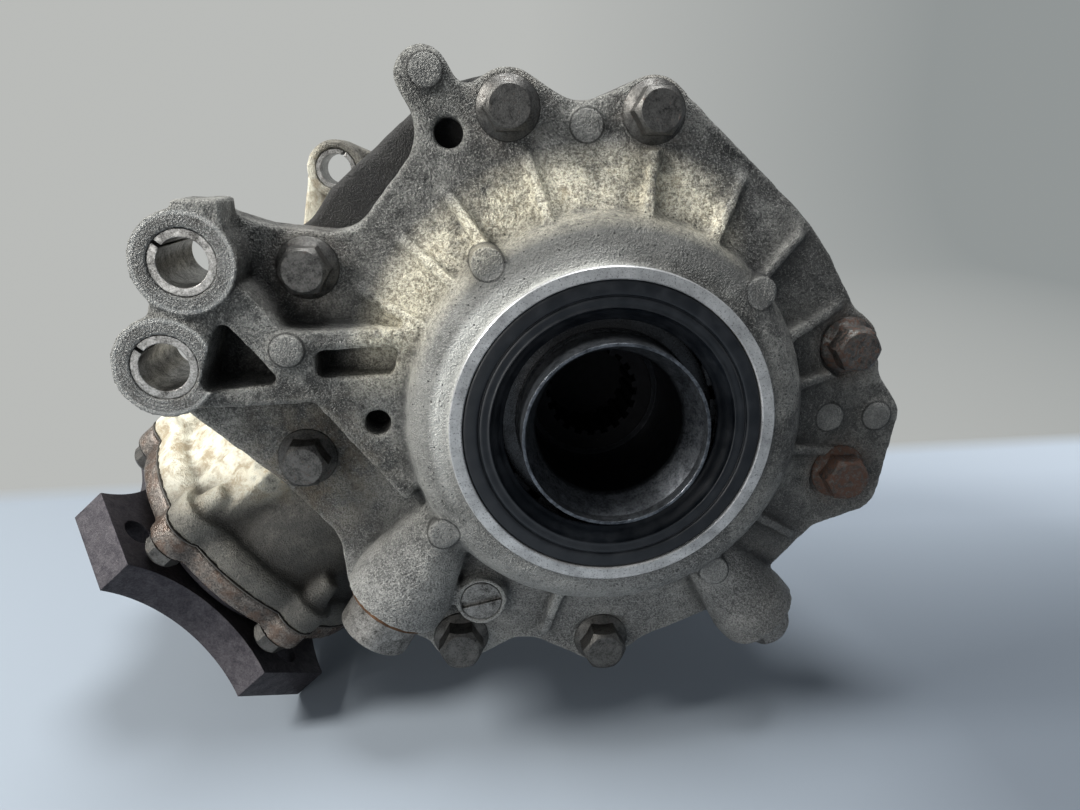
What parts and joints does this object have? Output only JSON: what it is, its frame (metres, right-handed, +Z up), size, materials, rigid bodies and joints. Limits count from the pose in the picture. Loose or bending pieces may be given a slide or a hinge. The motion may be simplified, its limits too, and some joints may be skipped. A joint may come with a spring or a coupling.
{
  "type": "front differential",
  "caption": "Front differential with ribbed die-cast cover, mounting arm, offset pinion drive and bevel gear differential on taper bearings.",
  "frame": {"origin": "centre of the machined nose ring, on the axle line, at its front face", "axes": "+Y along the axle line into the casing, +Z up as the unit lies in the picture, +X to the side away from the pinion"},
  "size_m": [0.2969, 0.17, 0.2381],
  "materials": {
    "cover_alloy": "sand-rough die cast, grimy",
    "casing_alloy": "die cast, oil stained",
    "carrier_alloy": "cast, oily",
    "bolt_steel": "dull, two rusted",
    "inner_fastener_steel": "blackened",
    "seal_rubber": "matt black",
    "sealant": "grey sealant",
    "washer_brown": "brown crush washer",
    "plug_steel": "dull zinc",
    "breather_steel": "dull zinc",
    "sleeve_steel": "turned",
    "bronze_washer": "bronze",
    "flange_steel": "forged, dark brown",
    "case_iron": "oiled iron, turned tube ends",
    "shim_steel": "plain",
    "bearing_steel": "ground",
    "gear_steel": "case hardened, oiled"
  },
  "bodies": {
    "housing": {"cover_casting": "cover_alloy", "main_casing": "casing_alloy", "pinion_carrier": "carrier_alloy", "cover_gasket": "sealant", "carrier_gasket": "sealant", "cover_bolts": "bolt_steel", "carrier_bolts": "bolt_steel", "cover_dowels": "inner_fastener_steel", "arm_sleeves": "sleeve_steel", "far_ear_sleeve": "sleeve_steel", "fill_plug": "plug_steel", "fill_washer": "washer_brown", "drain_plug": "plug_steel", "drain_washer": "washer_brown", "level_plug": "plug_steel", "breather": "breather_steel", "axle_seal_near": "seal_rubber", "axle_seal_far": "seal_rubber", "pinion_seal": "seal_rubber", "axle_shims": "shim_steel", "pinion_shims": "shim_steel", "near_axle_bearing_cup": "bearing_steel", "far_axle_bearing_cup": "bearing_steel", "pinion_head_bearing_cup": "bearing_steel", "pinion_tail_bearing_cup": "bearing_steel"},
    "case": {"differential_case": "case_iron", "ring_gear": "gear_steel", "ring_gear_bolts": "inner_fastener_steel", "cross_pin": "gear_steel", "lock_pin": "inner_fastener_steel", "side_gear_washers": "bronze_washer", "spider_washers": "bronze_washer", "near_axle_bearing_cone": "bearing_steel", "far_axle_bearing_cone": "bearing_steel"},
    "pinion": {"pinion_shaft": "gear_steel", "companion_flange": "flange_steel", "nut_washer": "inner_fastener_steel", "pinion_nut": "inner_fastener_steel", "crush_spacer": "shim_steel", "dust_shield": "flange_steel", "pinion_head_bearing_cone": "bearing_steel", "pinion_tail_bearing_cone": "bearing_steel"},
    "near_side_gear": {"side_gear_near": "gear_steel"},
    "far_side_gear": {"side_gear_far": "gear_steel"},
    "upper_spider": {"spider_gear_upper": "gear_steel"},
    "lower_spider": {"spider_gear_lower": "gear_steel"},
    "near_axle_rollers": {"near_axle_bearing_rollers": "bearing_steel"},
    "far_axle_rollers": {"far_axle_bearing_rollers": "bearing_steel"},
    "pinion_head_rollers": {"pinion_head_bearing_rollers": "bearing_steel"},
    "pinion_tail_rollers": {"pinion_tail_bearing_rollers": "bearing_steel"}
  },
  "joints": [
    {"name": "case_spin", "type": "hinge", "parent": "housing", "child": "case", "pos_m": [0, 0.085, 0], "axis": [0, 1, 0], "continuous": true},
    {"name": "pinion_spin", "type": "hinge", "parent": "housing", "child": "pinion", "pos_m": [-0.10851, 0.079, -0.04388], "axis": [-0.7431, 0, -0.6691], "continuous": true},
    {"name": "near_side_gear_spin", "type": "hinge", "parent": "case", "child": "near_side_gear", "pos_m": [0, 0.085, 0], "axis": [0, 1, 0], "continuous": true},
    {"name": "far_side_gear_spin", "type": "hinge", "parent": "case", "child": "far_side_gear", "pos_m": [0, 0.085, 0], "axis": [0, 1, 0], "continuous": true},
    {"name": "upper_spider_spin", "type": "hinge", "parent": "case", "child": "upper_spider", "pos_m": [0, 0.085, 0], "axis": [0, 0, 1], "continuous": true},
    {"name": "lower_spider_spin", "type": "hinge", "parent": "case", "child": "lower_spider", "pos_m": [0, 0.085, 0], "axis": [0, 0, 1], "continuous": true},
    {"name": "near_axle_roller_spin", "type": "hinge", "parent": "housing", "child": "near_axle_rollers", "pos_m": [0, 0.025, 0], "axis": [0, 1, 0], "continuous": true},
    {"name": "far_axle_roller_spin", "type": "hinge", "parent": "housing", "child": "far_axle_rollers", "pos_m": [0, 0.13, 0], "axis": [0, 1, 0], "continuous": true},
    {"name": "pinion_head_roller_spin", "type": "hinge", "parent": "housing", "child": "pinion_head_rollers", "pos_m": [-0.09365, 0.079, -0.0305], "axis": [-0.7431, 0, -0.6691], "continuous": true},
    {"name": "pinion_tail_roller_spin", "type": "hinge", "parent": "housing", "child": "pinion_tail_rollers", "pos_m": [-0.11743, 0.079, -0.05191], "axis": [-0.7431, 0, -0.6691], "continuous": true}
  ],
  "couplings": [
    {"joint": "pinion_spin", "follows": "case_spin", "ratio": 2.7273},
    {"joint": "far_side_gear_spin", "follows": "near_side_gear_spin", "ratio": -1},
    {"joint": "upper_spider_spin", "follows": "near_side_gear_spin", "ratio": 1.6},
    {"joint": "lower_spider_spin", "follows": "near_side_gear_spin", "ratio": -1.6},
    {"joint": "near_axle_roller_spin", "follows": "case_spin", "ratio": 0.44573},
    {"joint": "far_axle_roller_spin", "follows": "case_spin", "ratio": 0.44573},
    {"joint": "pinion_head_roller_spin", "follows": "case_spin", "ratio": 1.155},
    {"joint": "pinion_tail_roller_spin", "follows": "case_spin", "ratio": 1.1557}
  ]
}
